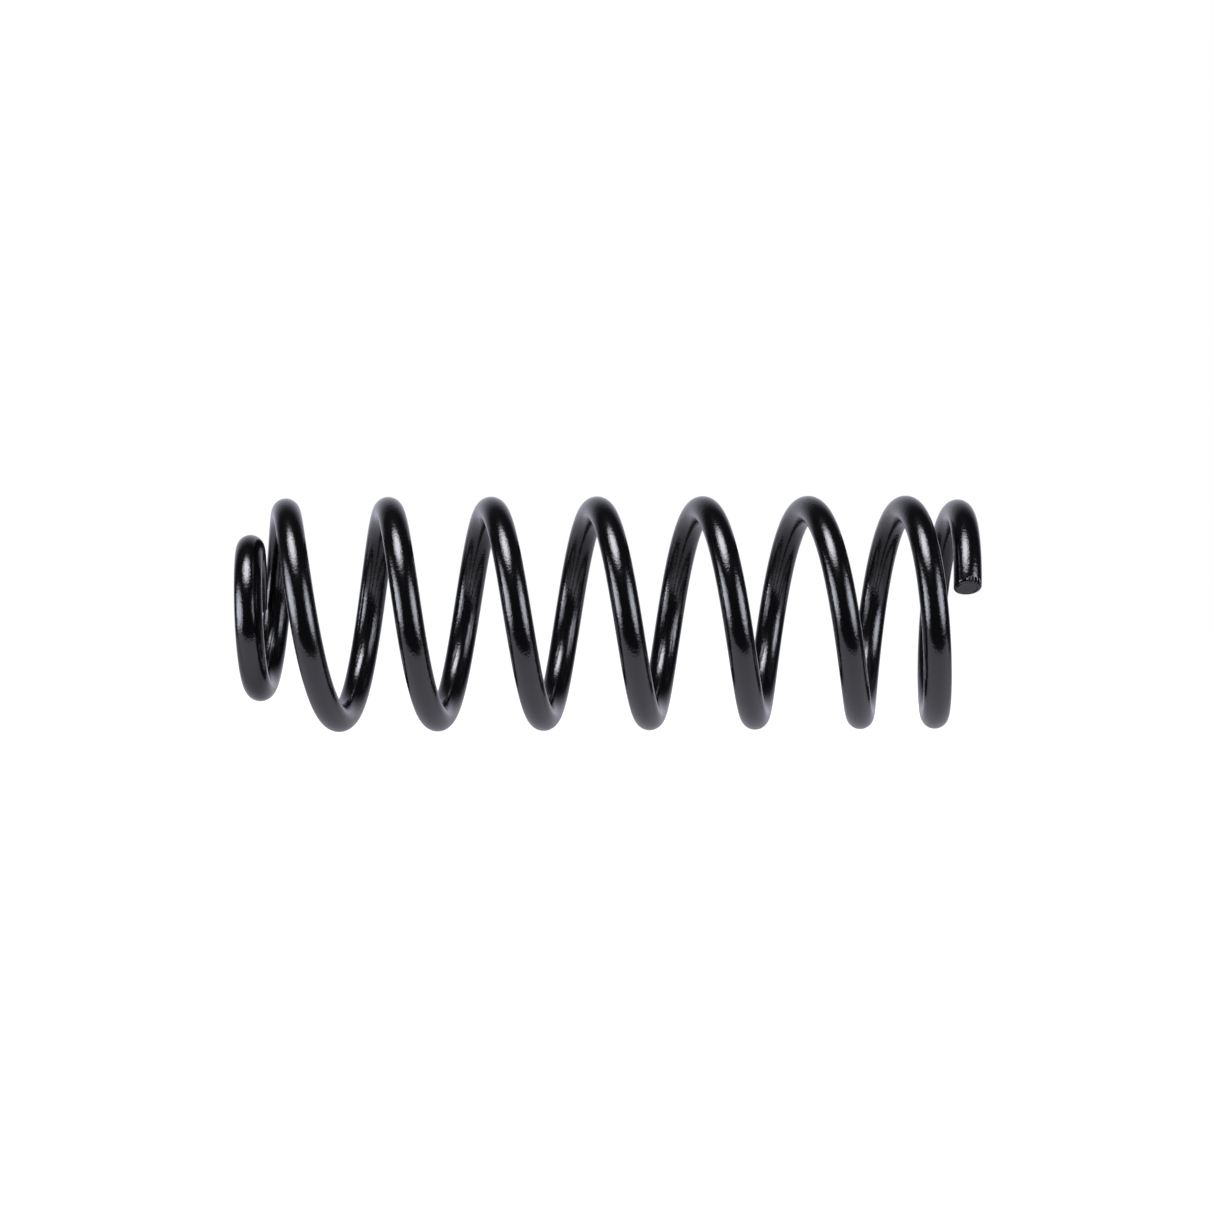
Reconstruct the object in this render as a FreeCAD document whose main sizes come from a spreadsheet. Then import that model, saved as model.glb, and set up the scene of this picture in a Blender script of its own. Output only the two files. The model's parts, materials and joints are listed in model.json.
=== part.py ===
"""Rear suspension coil spring: one round steel bar wound right-handed into a coil with a pigtail end.

Frame: millimetres. The spring's axis is +X, from the pigtail end's seat plane (x = 0) to the open end, and +Z is up.
The bar is divided at planes through the axis into arcs, one solid each, so that the turns can close on each other:
every cut face holds the direction of travel, and neighbouring arcs slide face to face along it.
A place along the bar is counted in turns of the coil from the pigtail's cut end, which is at turn 0.
"""

import math
import os

import FreeCAD, Part
import Sketcher

# ---- driving sizes, millimetres ----
SIZES = {
    "bar_diameter": 12.0,
    "coil_mean_radius": 45.3,
    "pigtail_mean_radius": 28.9,
    "open_end_mean_radius": 43.6,
    "pigtail_nesting": 5.7,
    "lead_in_pitch": 54.0,
    "settling_pitch": 41.2,
    "active_pitch": 46.3,
    "open_end_pitch": 24.1,
    "tip_pitch": -15.0,
    "bar_end_break": 0.9,
}

# ---- the winding, in turns along the bar ----
TURNS = 8.47  # the whole bar, cut end to cut end
PIGTAIL_FLARE = (0.54, 1.35)  # the radius grows from the pigtail's to the coil's
TIP_TUCKS_IN = (7.85, 8.25)  # the radius falls to the open end's
PITCH_CHANGES = (  # each pitch after the pigtail's, and the turns over which it takes over
    ("lead_in_pitch", (0.49, 1.78)),
    ("settling_pitch", (1.63, 1.93)),
    ("active_pitch", (2.39, 2.69)),
    ("open_end_pitch", (6.71, 7.57)),
    ("tip_pitch", (8.03, 8.45)),  # the tip leans back a little, so that it never digs into its seat
)

# ---- how the bar is divided, in turns along the bar ----
PIGTAIL_ENDS = 1.5  # up to here the seated end never moves
ACTIVE_ENDS = 7.25  # past here the open end moves as one piece
PIGTAIL_ARC = 0.125
ACTIVE_ARC = 0.25


def smooth_share(turn, span):
    """0 before a span of turns, 1 after it, and a smooth rise with level ends between."""
    t = min(1.0, max(0.0, (turn - span[0]) / (span[1] - span[0])))
    return t * t * (3.0 - 2.0 * t)


def smooth_share_sum(turn, span):
    """The area under smooth_share from turn 0, in turns."""
    width = span[1] - span[0]
    t = min(1.0, max(0.0, (turn - span[0]) / width))
    return width * (t**3 - 0.5 * t**4) + max(0.0, turn - span[1])


def pitch_shares(start, end):
    """How many turns of an arc each size counts for in its climb, as (name, turns).

    The pigtail's pitch is the bar's diameter less its nesting, so the turn that flares out past the cut end
    clears it whatever the bar.
    """
    spans = [span for name, span in PITCH_CHANGES]
    begun = [end - start] + [smooth_share_sum(end, s) - smooth_share_sum(start, s) for s in spans] + [0.0]
    counts = [begun[k] - begun[k + 1] for k in range(len(spans) + 1)]
    pigtail = [("bar_diameter", counts[0]), ("pigtail_nesting", -counts[0])]
    return pigtail + [(name, count) for (name, span), count in zip(PITCH_CHANGES, counts[1:])]


def rise(start, end):
    """How far an arc climbs along the axis; it's negative where the tip leans back."""
    return sum(SIZES[name] * turns for name, turns in pitch_shares(start, end))


def rise_expression(start, end):
    return " + ".join(f"Sizes.{name} * ({turns:.9f})" for name, turns in pitch_shares(start, end))


def radius_expression(turn):
    flared, tucked = smooth_share(turn, PIGTAIL_FLARE), smooth_share(turn, TIP_TUCKS_IN)
    return (
        f"Sizes.pigtail_mean_radius + (Sizes.coil_mean_radius - Sizes.pigtail_mean_radius) * {flared:.9f}"
        f" + (Sizes.open_end_mean_radius - Sizes.coil_mean_radius) * {tucked:.9f}"
    )


def growth_expression(start, end):
    """The growth in radius per turn that carries one arc's mean radius to the next arc's."""
    return f"(({radius_expression(end)}) - ({radius_expression(start)})) / {end - start:.9f}"


def arcs():
    """Every arc of the bar in order: (name, start, end), start and end in turns."""
    found = []
    for k in range(round(PIGTAIL_ENDS / PIGTAIL_ARC) - 1):
        found.append((f"pigtail_arc_{k + 1:02d}", k * PIGTAIL_ARC, (k + 1) * PIGTAIL_ARC))
    found.append(("lead_in_arc", PIGTAIL_ENDS - PIGTAIL_ARC, PIGTAIL_ENDS))
    for k in range(round((ACTIVE_ENDS - PIGTAIL_ENDS) / ACTIVE_ARC)):
        start = PIGTAIL_ENDS + k * ACTIVE_ARC
        turn, quarter = int(start) + 1, round(start % 1 / ACTIVE_ARC) + 1
        found.append((f"turn_{turn}_quarter_{quarter}", start, start + ACTIVE_ARC))
    for k in range(math.ceil((TURNS - ACTIVE_ENDS) / ACTIVE_ARC)):
        start = ACTIVE_ENDS + k * ACTIVE_ARC
        found.append((f"open_end_arc_{k + 1}", start, min(TURNS, start + ACTIVE_ARC)))
    return found


def make_sizes(doc):
    sheet = doc.addObject("Spreadsheet::Sheet", "Sizes")
    for row, (name, value) in enumerate(SIZES.items(), start=1):
        sheet.set(f"A{row}", name)
        sheet.set(f"B{row}", str(value))
        sheet.setAlias(f"B{row}", name)
    doc.recompute()
    return sheet


def section_sketch(body, start):
    """The bar's round section in a plane through the axis, at the arc's own mean radius."""
    sketch = body.newObject("Sketcher::SketchObject", body.Name + "_section")
    plane = next(f for f in body.Origin.OriginFeatures if f.Role == "XZ_Plane")
    sketch.AttachmentSupport = [(plane, "")]
    sketch.MapMode = "FlatFace"
    centre, radius = SIZES["coil_mean_radius"], SIZES["bar_diameter"] / 2
    normal = FreeCAD.Vector(0, 0, 1)
    sketch.addGeometry(Part.Circle(FreeCAD.Vector(centre, 0, 0), normal, radius), False)
    circle, centre_point, horizontal, origin, origin_point = 0, 3, -1, -1, 1
    sketch.addConstraint(Sketcher.Constraint("PointOnObject", circle, centre_point, horizontal))
    diameter = sketch.addConstraint(Sketcher.Constraint("Diameter", circle, 2 * radius))
    across = sketch.addConstraint(
        Sketcher.Constraint("DistanceX", origin, origin_point, circle, centre_point, centre)
    )
    sketch.setExpression(f"Constraints[{diameter}]", "Sizes.bar_diameter")
    sketch.setExpression(f"Constraints[{across}]", radius_expression(start))
    return sketch


def axis_along_x(start):
    """Turns an arc made about its own Z so that its axis is X and its first face is at its own angle."""
    stand = FreeCAD.Rotation(
        FreeCAD.Vector(0, 1, 0), FreeCAD.Vector(0, 0, 1), FreeCAD.Vector(1, 0, 0), "ZXY"
    )
    return FreeCAD.Rotation(FreeCAD.Vector(1, 0, 0), 360.0 * start) * stand


def make_arc(doc, name, start, end, before):
    """One arc of the bar as a helix of its section, seated on the end of the arc before it."""
    body = doc.addObject("PartDesign::Body", name)
    body.Label = name
    sketch = section_sketch(body, start)
    doc.recompute()
    helix = body.newObject("PartDesign::AdditiveHelix", name + "_winding")
    helix.Profile = sketch
    helix.ReferenceAxis = (sketch, ["V_Axis"])
    helix.Mode = "height-turns-growth"
    helix.Turns = end - start
    falls = rise(start, end) < 0
    helix.Reversed = falls
    helix.LeftHanded = falls
    helix.setExpression("Height", f"abs({rise_expression(start, end)})")
    helix.setExpression("Growth", growth_expression(start, end))
    body.Placement = FreeCAD.Placement(FreeCAD.Vector(0, 0, 0), axis_along_x(start))
    if before is None:
        body.setExpression("Placement.Base.x", "Sizes.bar_diameter / 2")
    else:
        way = "-" if doc.getObject(before.Name + "_winding").Reversed else "+"
        seat = f"{before.Name}.Placement.Base.x {way} {before.Name}_winding.Height"
        body.setExpression("Placement.Base.x", seat)
    doc.recompute()
    return body


def break_cut_edge(doc, body, at_start):
    """Rounds off the rim of the bar's own cut end."""
    winding = doc.getObject(body.Name + "_winding")
    flat = [f for f in winding.Shape.Faces if isinstance(f.Surface, Part.Plane)]
    face = min(flat, key=lambda f: abs(f.CenterOfMass.y) if at_start else -abs(f.CenterOfMass.y))
    rim = [
        f"Edge{i}"
        for i, edge in enumerate(winding.Shape.Edges, start=1)
        if any(edge.isSame(of_face) for of_face in face.Edges)
    ]
    fillet = body.newObject("PartDesign::Fillet", body.Name + "_rim")
    fillet.Base = (winding, rim)
    fillet.setExpression("Radius", "Sizes.bar_end_break")
    body.Tip = fillet
    doc.recompute()


def check(doc, bodies):
    for thing in doc.Objects:
        if any(word in thing.State for word in ("Invalid", "Error")):
            raise RuntimeError(f"{thing.Name} is {thing.State}")
    for body in bodies:
        shape = body.Shape
        if shape.isNull() or not shape.isValid() or len(shape.Solids) != 1:
            raise RuntimeError(f"{body.Label} isn't one valid solid")


def report(bodies):
    """Prints the sizes that the winding works out to, and where the two cut ends are."""
    volume = sum(b.Shape.Volume for b in bodies)
    section = math.pi * SIZES["bar_diameter"] ** 2 / 4
    print(f"{len(bodies)} arcs, {volume / 1000:.1f} cm3, bar {volume / section:.0f} mm long")
    last = bodies[-1]
    tip = last.Document.getObject(last.Name + "_winding").Shape.Faces[-1].CenterOfMass
    furthest = max(b.Shape.optimalBoundingBox().XMax for b in bodies[-4:])
    print("free length", round(furthest, 2))
    print("open end's cut face", last.Placement.multVec(FreeCAD.Vector(tip)))


def main():
    doc = FreeCAD.newDocument("coil_spring")
    make_sizes(doc)
    bodies = []
    for name, start, end in arcs():
        bodies.append(make_arc(doc, name, start, end, bodies[-1] if bodies else None))
    break_cut_edge(doc, bodies[0], at_start=True)
    break_cut_edge(doc, bodies[-1], at_start=False)
    doc.recompute()
    check(doc, bodies)
    report(bodies)
    os.makedirs("parts", exist_ok=True)
    for body in bodies:
        body.Shape.exportStep(f"parts/{body.Label}.step")


main()
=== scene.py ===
import json
import math

import bpy
from mathutils import Matrix, Vector


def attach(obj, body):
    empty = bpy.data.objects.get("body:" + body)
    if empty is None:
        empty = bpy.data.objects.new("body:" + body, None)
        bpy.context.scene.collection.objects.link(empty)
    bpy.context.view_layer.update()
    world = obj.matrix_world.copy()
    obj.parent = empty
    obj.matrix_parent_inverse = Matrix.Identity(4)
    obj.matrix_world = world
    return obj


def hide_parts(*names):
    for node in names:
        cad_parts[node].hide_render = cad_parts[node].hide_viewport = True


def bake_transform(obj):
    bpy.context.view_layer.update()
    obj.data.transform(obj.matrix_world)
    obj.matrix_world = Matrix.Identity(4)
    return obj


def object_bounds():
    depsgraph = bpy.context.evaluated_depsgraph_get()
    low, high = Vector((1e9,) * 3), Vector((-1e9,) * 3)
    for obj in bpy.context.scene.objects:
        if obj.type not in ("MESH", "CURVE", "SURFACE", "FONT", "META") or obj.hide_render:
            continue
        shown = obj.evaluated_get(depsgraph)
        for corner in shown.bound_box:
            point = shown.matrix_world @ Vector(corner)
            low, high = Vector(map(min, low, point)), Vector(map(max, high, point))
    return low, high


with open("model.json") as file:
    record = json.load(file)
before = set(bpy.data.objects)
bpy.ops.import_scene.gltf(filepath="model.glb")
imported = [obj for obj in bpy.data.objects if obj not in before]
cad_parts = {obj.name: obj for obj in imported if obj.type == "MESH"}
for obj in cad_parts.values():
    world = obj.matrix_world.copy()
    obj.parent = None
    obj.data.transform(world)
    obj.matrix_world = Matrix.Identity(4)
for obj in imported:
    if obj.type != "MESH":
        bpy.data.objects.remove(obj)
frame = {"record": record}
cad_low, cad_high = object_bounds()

MM = 0.001

# ---- the winding: the CAD's sizes, and places in turns from the pigtail's cut end ----
BAR_RADIUS = 6.0 * MM
COIL_RADIUS = 45.3 * MM
PIGTAIL_RADIUS = 28.9 * MM
OPEN_END_RADIUS = 43.6 * MM
TURNS = 8.47
PIGTAIL_FLARE = (0.54, 1.35)
TIP_TUCKS_IN = (7.85, 8.25)
PIGTAIL_PITCH = 6.3 * MM
PITCH_CHANGES = (  # each later pitch, and the turns over which it takes over
    (54.0 * MM, (0.49, 1.78)),
    (41.2 * MM, (1.63, 1.93)),
    (46.3 * MM, (2.39, 2.69)),
    (24.1 * MM, (6.71, 7.57)),
    (-15.0 * MM, (8.03, 8.45)),
)

# ---- how the bar is divided, in turns ----
FIRST_SLIP = 1.5  # the lead-in and the first moving arc meet here
LAST_SLIP = 7.25  # the last moving arc and the open end meet here
ARC = 0.25
BEND = 0.125  # a piece over a slip reaches this far each side of it

RINGS_PER_TURN = 144
SIDES = 48

# ---- the cut ends: cropped in a press, with a leaning face, a rounded rim and smeared steel ----
CUT_LENGTH = 7.0 * MM
CUT_SIDES = 216
CUT_RIM = 1.1 * MM
CUT_STRETCH_RINGS, CUT_RIM_RINGS, CUT_FACE_RINGS = 12, 8, 20
CUT_LEAN = 3.6 * MM  # how much shorter the bar's outer side is
BURR = 0.3 * MM  # a ridge round the face
BURR_AT = 0.74  # its radius as a share of the bar's
BURR_WIDTH = 0.05
TEAR_DEPTH = 1.0 * MM
TEAR_LENGTH = 3.4 * MM
TEAR_EVERY = 1.5 * MM  # drawn coarser than the real hair-fine tears, which would not show
TEARS_MIDDLE = 34  # degrees round the bar, from its outer side towards the open end's seat
TEARS_REACH = (34, 52)  # degrees each side: whole tears to the first, none past the second
TEARS_STRAY, TEARS_STRAY_WAVES = 1.3, 5  # the spacing is uneven by this much, in waves round the bar
TEARS_FADE = 6  # the power that keeps them off the middle of the face

# ---- the coat's texture: the peel is drawn as coarse as it needs to be to break up a highlight ----
PEEL_SIZE = 1.1 * MM
PEEL_DEPTH = 0.08 * MM
RIPPLE_SIZE = 6.0 * MM
RIPPLE_DEPTH = 0.05 * MM


def smooth_share(turn, span):
    t = min(1.0, max(0.0, (turn - span[0]) / (span[1] - span[0])))
    return t * t * (3.0 - 2.0 * t)


def smooth_share_sum(turn, span):
    width = span[1] - span[0]
    t = min(1.0, max(0.0, (turn - span[0]) / width))
    return width * (t**3 - 0.5 * t**4) + max(0.0, turn - span[1])


def coil_radius(turn):
    flared, tucked = smooth_share(turn, PIGTAIL_FLARE), smooth_share(turn, TIP_TUCKS_IN)
    widened = (COIL_RADIUS - PIGTAIL_RADIUS) * flared
    narrowed = (OPEN_END_RADIUS - COIL_RADIUS) * tucked
    return PIGTAIL_RADIUS + widened + narrowed


def height(turn):
    """Distance along the coil's axis."""
    distance, pitch = BAR_RADIUS + PIGTAIL_PITCH * turn, PIGTAIL_PITCH
    for next_pitch, span in PITCH_CHANGES:
        distance += (next_pitch - pitch) * smooth_share_sum(turn, span)
        pitch = next_pitch
    return distance


def outward(turn):
    angle = 2 * math.pi * turn
    return Vector((0, math.cos(angle), math.sin(angle)))


def centre(turn):
    return Vector((height(turn), 0, 0)) + outward(turn) * coil_radius(turn)


def axial_stretch(turn, radius):
    """How much longer along the axis the bar's section is where a plane through that axis cuts it."""
    step = 0.001
    climb = (height(turn + step) - height(turn - step)) / (2 * step)
    return math.hypot(1, climb / (2 * math.pi * radius))


def bar_section(turn):
    """The bar where a plane through the coil's axis cuts it: round, but a little long that way."""
    along_axis = Vector((1, 0, 0)) * BAR_RADIUS * axial_stretch(turn, coil_radius(turn))
    out, middle = outward(turn) * BAR_RADIUS, centre(turn)
    angles = [2 * math.pi * k / SIDES for k in range(SIDES)]
    return [middle + out * math.cos(a) + along_axis * math.sin(a) for a in angles]


def colour(hex_code):
    """An sRGB hex colour as linear RGBA."""
    parts = [int(hex_code[i : i + 2], 16) / 255 for i in (1, 3, 5)]
    return [c / 12.92 if c <= 0.04045 else ((c + 0.055) / 1.055) ** 2.4 for c in parts] + [1.0]


def add_node(tree, kind, settings=None, **links):
    """A node with its properties and sockets set; links are socket=other socket, or socket=value."""
    node = tree.nodes.new(kind)
    for name, value in (settings or {}).items():
        setattr(node, name, value)
    for name, value in links.items():
        socket = node.inputs[name.replace("_", " ")]
        if isinstance(value, bpy.types.NodeSocket):
            tree.links.new(value, socket)
        else:
            socket.default_value = value
    return node


def new_material(name):
    material = bpy.data.materials.new(name)
    material.use_nodes = True
    material.node_tree.nodes.clear()
    return material, material.node_tree


def gloss_black_powder_coat():
    """Baked polyester powder on shot-peened steel: a deep, hard gloss broken up by orange peel."""
    material, tree = new_material("gloss_black_powder_coat")
    place = add_node(tree, "ShaderNodeTexCoord").outputs["Object"]
    peel = add_node(
        tree, "ShaderNodeTexNoise", Vector=place, Scale=1 / PEEL_SIZE, Detail=2.0, Roughness=0.45
    )
    ripple = add_node(tree, "ShaderNodeTexNoise", Vector=place, Scale=1 / RIPPLE_SIZE, Detail=1.0)
    rippled = add_node(
        tree, "ShaderNodeBump", Strength=1.0, Distance=RIPPLE_DEPTH, Height=ripple.outputs["Fac"]
    )
    peeled = add_node(
        tree,
        "ShaderNodeBump",
        Strength=1.0,
        Distance=PEEL_DEPTH,
        Height=peel.outputs["Fac"],
        Normal=rippled.outputs["Normal"],
    )
    shader = add_node(
        tree,
        "ShaderNodeBsdfPrincipled",
        Base_Color=colour("#040405"),
        Roughness=0.16,
        IOR=1.5,
        Normal=peeled.outputs["Normal"],
    )
    add_node(tree, "ShaderNodeOutputMaterial", Surface=shader.outputs["BSDF"])
    return material


def turns_in(length, radius):
    """How many turns a length of bar makes at a mean radius."""
    return length / (2 * math.pi * radius)


BAR_STARTS = turns_in(CUT_LENGTH, PIGTAIL_RADIUS)
BAR_STOPS = TURNS - turns_in(CUT_LENGTH, OPEN_END_RADIUS)


def whole_bar():
    """Every ring of the bar between the two cut ends in order, as (turn, points)."""
    inner = [k / RINGS_PER_TURN for k in range(round(TURNS * RINGS_PER_TURN))]
    turns = [BAR_STARTS] + [t for t in inner if BAR_STARTS < t < BAR_STOPS] + [BAR_STOPS]
    return [(turn, bar_section(turn)) for turn in turns]


def surface_normals(rings):
    """One normal per point, worked out over the whole bar so that the pieces' edges shade as one."""
    normals = []
    for k, (turn, points) in enumerate(rings):
        before, after = rings[max(0, k - 1)][1], rings[min(len(rings) - 1, k + 1)][1]
        row = []
        for i in range(SIDES):
            along = after[i] - before[i]
            round_bar = points[(i + 1) % SIDES] - points[i - 1]
            row.append(round_bar.cross(along).normalized())
        normals.append(row)
    return normals


def coated_piece(name, points, faces, coat, normals=None):
    """A smooth piece of coated bar as its own object."""
    mesh = bpy.data.meshes.new(name)
    mesh.from_pydata(points, [], faces)
    mesh.polygons.foreach_set("use_smooth", [True] * len(mesh.polygons))
    if normals:
        mesh.normals_split_custom_set_from_vertices(normals)
    mesh.materials.append(coat)
    piece = bpy.data.objects.new(name, mesh)
    bpy.context.collection.objects.link(piece)
    return piece


def cut_profile():
    """From the whole bar to the middle of its face, as (distance back from the face, radius)."""
    stretch = CUT_LENGTH - CUT_RIM
    steps = [
        (CUT_LENGTH - stretch * k / CUT_STRETCH_RINGS, BAR_RADIUS) for k in range(CUT_STRETCH_RINGS + 1)
    ]
    for k in range(1, CUT_RIM_RINGS + 1):
        a = math.pi / 2 * k / CUT_RIM_RINGS
        steps.append((CUT_RIM * (1 - math.sin(a)), BAR_RADIUS - CUT_RIM * (1 - math.cos(a))))
    flat = steps[-1][1]
    for k in range(1, CUT_FACE_RINGS):
        radius = flat * (1 - k / CUT_FACE_RINGS)
        burr = BURR * math.exp(-(((radius / BAR_RADIUS - BURR_AT) / BURR_WIDTH) ** 2))
        steps.append((-burr, radius))
    return steps


def tear(angle, back, radius):
    """How deep the smeared steel is torn at an angle round the bar, this far back from the face."""
    off_middle = abs(math.degrees(angle) - TEARS_MIDDLE)
    around = 1 - smooth_share(off_middle, TEARS_REACH)
    lengthways = 1 - smooth_share(back, (CUT_RIM / 2, TEAR_LENGTH))
    unevenly = TEARS_STRAY * math.sin(TEARS_STRAY_WAVES * angle)
    wave = 0.5 + 0.5 * math.cos(angle * BAR_RADIUS * 2 * math.pi / TEAR_EVERY + unevenly)
    only_near_rim = (radius / BAR_RADIUS) ** TEARS_FADE
    return TEAR_DEPTH * around * lengthways * wave**2 * only_near_rim


def cut_end(name, turn, way, coil, coat, body, node):
    """The bar's last few millimetres and its face; way is 1 at the open end, -1 at the pigtail's."""
    angles = [2 * math.pi * k / CUT_SIDES for k in range(CUT_SIDES)]
    points = []
    for back, radius in cut_profile():
        shear = 1 - max(0.0, (back - CUT_RIM) / (CUT_LENGTH - CUT_RIM))
        for a in angles:
            shorter = CUT_LEAN * shear * (1 + math.cos(a) * radius / BAR_RADIUS) / 2
            at = turn - way * turns_in(back + shorter, coil)
            within_half_turn = (a + math.pi) % (2 * math.pi) - math.pi
            torn_radius = radius - tear(within_half_turn, back, radius)
            side = Vector((1, 0, 0)) * math.sin(a) * axial_stretch(at, coil)
            points.append(centre(at) + (outward(at) * math.cos(a) + side) * torn_radius)
    rings = len(points) // CUT_SIDES
    points.append(centre(turn - way * turns_in(CUT_LEAN / 2, coil)))
    faces = []
    for r in range(rings):
        for i in range(CUT_SIDES):
            here, beside = r * CUT_SIDES + i, r * CUT_SIDES + (i + 1) % CUT_SIDES
            if r < rings - 1:
                face = (here, beside, beside + CUT_SIDES, here + CUT_SIDES)
            else:
                face = (here, beside, len(points) - 1)
            faces.append(face if way > 0 else face[::-1])
    piece = coated_piece(name, points, faces, coat)
    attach(piece, body)
    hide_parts(node)


def bar_piece(name, rings, normals, start, end, coat):
    """The stretch of bar from turn start to turn end as its own mesh."""
    slack = 1e-6
    chosen = [k for k, (turn, _) in enumerate(rings) if start - slack <= turn <= end + slack]
    points = [p for k in chosen for p in rings[k][1]]
    faces = [
        (
            r * SIDES + i,
            r * SIDES + (i + 1) % SIDES,
            (r + 1) * SIDES + (i + 1) % SIDES,
            (r + 1) * SIDES + i,
        )
        for r in range(len(chosen) - 1)
        for i in range(SIDES)
    ]
    return coated_piece(name, points, faces, coat, [n for k in chosen for n in normals[k]])


def moving_arcs():
    """The bodies that the turns between the two ends are made of, in order."""
    names = []
    for k in range(round((LAST_SLIP - FIRST_SLIP) / ARC)):
        start = FIRST_SLIP + k * ARC
        names.append(f"turn_{int(start) + 1}_quarter_{round(start % 1 / ARC) + 1}")
    return names


def wind_spring(coat):
    """The bar in pieces: each end rides its own body, and each piece between spans one slip and stays
    where it is built, on no body.
    """
    rings = whole_bar()
    normals = surface_normals(rings)

    pigtail = bar_piece("pigtail_end_bar", rings, normals, 0, FIRST_SLIP - BEND, coat)
    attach(pigtail, "pigtail_end")
    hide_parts(*frame["record"]["behaviour"]["bodies"]["pigtail_end"][1:])
    cut_end("pigtail_cut_end", 0.0, -1, PIGTAIL_RADIUS, coat, "pigtail_end", "pigtail_arc_01")

    chain = ["lead_in"] + moving_arcs() + ["open_end"]
    for k in range(len(chain) - 1):
        slip = FIRST_SLIP + k * ARC
        piece = bar_piece(f"bar_over_slip_{k + 1:02d}", rings, normals, slip - BEND, slip + BEND, coat)
        middle = centre(slip)
        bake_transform(piece)
        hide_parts(*frame["record"]["behaviour"]["bodies"][chain[k]])

    open_end = bar_piece("open_end_bar", rings, normals, LAST_SLIP + BEND, TURNS, coat)
    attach(open_end, "open_end")
    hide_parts(*frame["record"]["behaviour"]["bodies"]["open_end"][:-1])
    cut_end("open_cut_end", TURNS, 1, OPEN_END_RADIUS, coat, "open_end", "open_end_arc_5")


# ---- studio ----
FLOOR_Z = cad_low.z
FLOOR_REACH = 6
TABLE_LOW, TABLE_HIGH = (-0.20, -0.09), (0.52, 0.6)
TABLE_LIFT = 0.2 * MM
COIL_MIDDLE = Vector(((cad_low.x + cad_high.x) / 2, 0, 0))
SOFTBOXES = (  # azimuth, elevation, metres away, width and height in degrees, radiance, tint
    ("overhead_softbox", -30, 64, 2.0, 50, 44, 5.4, "#f8f6ff"),
    ("overhead_tube", -30, 64, 1.9, 30, 28, 8.0, "#f8f6ff"),
    ("left_softbox", -75, 2, 2.2, 60, 40, 4.2, "#f0f3ff"),
    ("left_tube", -75, 2, 2.1, 38, 24, 4.4, "#f0f3ff"),
    ("right_softbox", 58, 12, 2.2, 48, 44, 3.8, "#f0f3ff"),
    ("right_tube", 58, 12, 2.1, 28, 28, 4.0, "#f0f3ff"),
)
ROOM_DIM, BACK_WALL_GLOW = 0.03, 0.85

CAMERA_YAW, CAMERA_ROLL = 0.0396, 0.0041
CAMERA_AIM = 175.9 * MM
CAMERA_DISTANCE = 1284.4 * MM
CAMERA_LENS, CAMERA_SENSOR = 86.85, 36.0
CAMERA_SHIFT = (-0.0243, 0.0052)


def glowing_paper(name, tint, front_glow, painted_shadow_glow):
    """White paper that glows as if lit: the first glow before the coil's near side, easing to the second
    by the coil's axis; a lower second glow is a painted shadow of the coil.
    """
    material, tree = new_material(name)
    place = add_node(tree, "ShaderNodeTexCoord").outputs["Object"]
    depth = add_node(tree, "ShaderNodeSeparateXYZ", Vector=place).outputs["Y"]
    glow = add_node(
        tree,
        "ShaderNodeMapRange",
        {"interpolation_type": "SMOOTHSTEP"},
        Value=depth,
        From_Min=-COIL_RADIUS,
        From_Max=0.0,
        To_Min=front_glow,
        To_Max=painted_shadow_glow,
    )
    shader = add_node(tree, "ShaderNodeBsdfPrincipled", Base_Color=colour("#404040"), Roughness=0.9)
    shader.inputs["Emission Color"].default_value = colour(tint)
    tree.links.new(glow.outputs["Result"], shader.inputs["Emission Strength"])
    add_node(tree, "ShaderNodeOutputMaterial", Surface=shader.outputs["BSDF"])
    return material


def card(name, low, high, z, material):
    mesh = bpy.data.meshes.new(name)
    mesh.from_pydata(
        [(low[0], low[1], z), (high[0], low[1], z), (high[0], high[1], z), (low[0], high[1], z)],
        [],
        [(0, 1, 2, 3)],
    )
    mesh.materials.append(material)
    piece = bpy.data.objects.new(name, mesh)
    bpy.context.collection.objects.link(piece)
    return piece


def bearing(azimuth, elevation):
    """A direction from the coil's middle: azimuth 0 is the front and 90 the open end."""
    a, e = math.radians(azimuth), math.radians(elevation)
    return Vector((math.sin(a) * math.cos(e), -math.cos(a) * math.cos(e), math.sin(e)))


def softbox(name, azimuth, elevation, distance, width, tall, radiance, tint):
    """An area light facing the coil, its sizes given as the angles that it fills from there."""
    light = bpy.data.lights.new(name, "AREA")
    light.shape = "ELLIPSE"
    light.size = 2 * distance * math.tan(math.radians(width / 2))
    light.size_y = 2 * distance * math.tan(math.radians(tall / 2))
    light.energy = radiance * math.pi * light.size * light.size_y
    light.color = colour(tint)[:3]
    lamp = bpy.data.objects.new(name, light)
    bpy.context.collection.objects.link(lamp)
    towards = bearing(azimuth, elevation)
    lamp.location = COIL_MIDDLE + towards * distance
    lamp.rotation_euler = (-towards).to_track_quat("-Z", "Y").to_euler()
    lamp.visible_camera = False


def studio():
    """A pale floor that the gloss doesn't see, a card that only the gloss sees, and the lights."""
    white_floor = glowing_paper("white_floor", "#ffffff", 1.0, 1.0)
    floor = card("floor", (-FLOOR_REACH, -FLOOR_REACH), (FLOOR_REACH, FLOOR_REACH), FLOOR_Z, white_floor)
    floor.visible_glossy = False
    # painted shadow: the card's glow eases from 1.2 before the coil to 0.5 under it, in place of the
    # coil's shadow on the floor as the gloss sees it
    table_paper_painted_shadow = glowing_paper("table_paper_painted_shadow", "#f3efff", 1.2, 0.5)
    table = card("table_in_gloss", TABLE_LOW, TABLE_HIGH, FLOOR_Z + TABLE_LIFT, table_paper_painted_shadow)
    for flag in ("visible_camera", "visible_diffuse", "visible_shadow"):
        setattr(table, flag, False)
    for row in SOFTBOXES:
        softbox(*row)
    studio_air()


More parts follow.
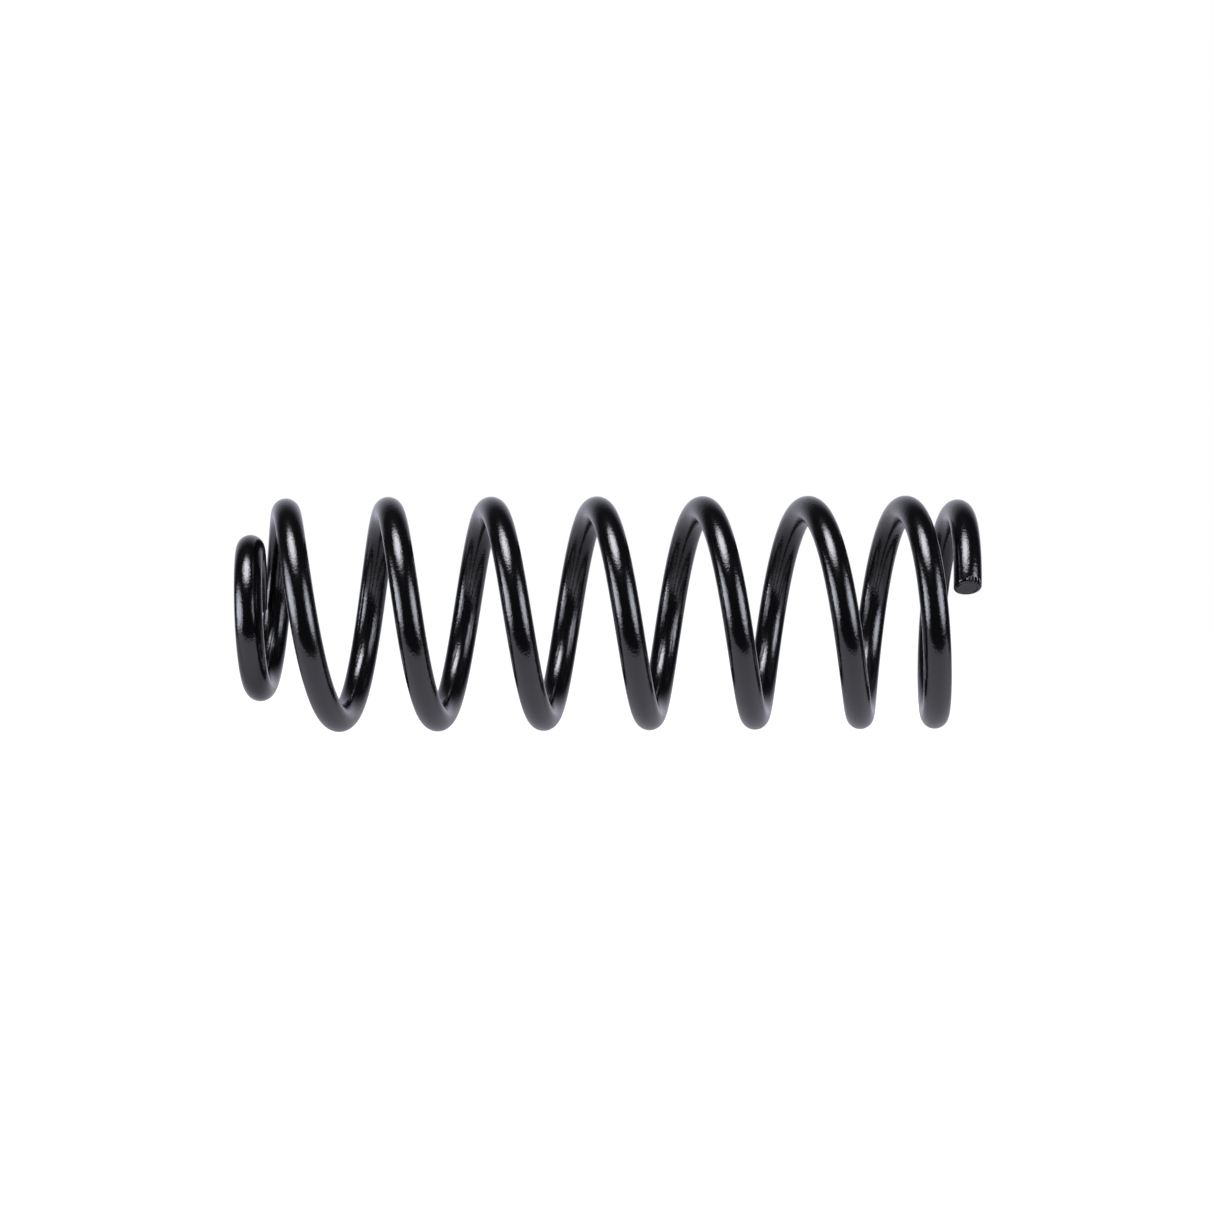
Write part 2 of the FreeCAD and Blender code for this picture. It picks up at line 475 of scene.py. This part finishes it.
def studio_air():
    """White to the eye; in the gloss, a dim room whose back wall is lit."""
    world = bpy.data.worlds.new("studio_air")
    bpy.context.scene.world = world
    world.use_nodes = True
    tree = world.node_tree
    tree.nodes.clear()
    seen = add_node(tree, "ShaderNodeLightPath").outputs["Is Camera Ray"]
    direction = add_node(tree, "ShaderNodeTexCoord").outputs["Generated"]
    rearward = add_node(tree, "ShaderNodeSeparateXYZ", Vector=direction)
    back_wall = add_node(
        tree,
        "ShaderNodeMapRange",
        {"interpolation_type": "SMOOTHSTEP"},
        Value=rearward.outputs["Y"],
        From_Min=0.5,
        From_Max=1.0,
        To_Min=ROOM_DIM,
        To_Max=BACK_WALL_GLOW,
    ).outputs["Result"]
    dim = add_node(tree, "ShaderNodeBackground", Color=colour("#eeeeff"), Strength=back_wall)
    pale = add_node(tree, "ShaderNodeBackground", Color=colour("#ffffff"), Strength=1.0)
    mixed = add_node(tree, "ShaderNodeMixShader", Fac=seen)
    tree.links.new(dim.outputs[0], mixed.inputs[1])
    tree.links.new(pale.outputs[0], mixed.inputs[2])
    add_node(tree, "ShaderNodeOutputWorld", Surface=mixed.outputs[0])
    bpy.context.scene.view_settings.view_transform = "Standard"


def camera():
    """A long lens square to the coil, level with its axis and a touch off square."""
    yaw, roll = CAMERA_YAW, CAMERA_ROLL
    forward = Vector((math.sin(yaw), math.cos(yaw), 0))
    across = Vector((math.cos(yaw), -math.sin(yaw), 0))
    rolled_across = across * math.cos(roll) - Vector((0, 0, 1)) * math.sin(roll)
    up = across * math.sin(roll) + Vector((0, 0, 1)) * math.cos(roll)
    aim = Vector((CAMERA_AIM, 0, 0))
    data = bpy.data.cameras.new("camera")
    data.lens = CAMERA_LENS
    data.sensor_width = CAMERA_SENSOR
    data.shift_x, data.shift_y = CAMERA_SHIFT
    data.clip_end = 50.0
    eye = bpy.data.objects.new("camera", data)
    bpy.context.collection.objects.link(eye)
    eye.matrix_world = Matrix.Translation(aim - forward * CAMERA_DISTANCE) @ Matrix(
        (rolled_across, up, -forward)
    ).transposed().to_4x4()
    bpy.context.scene.camera = eye


wind_spring(gloss_black_powder_coat())
studio()
camera()
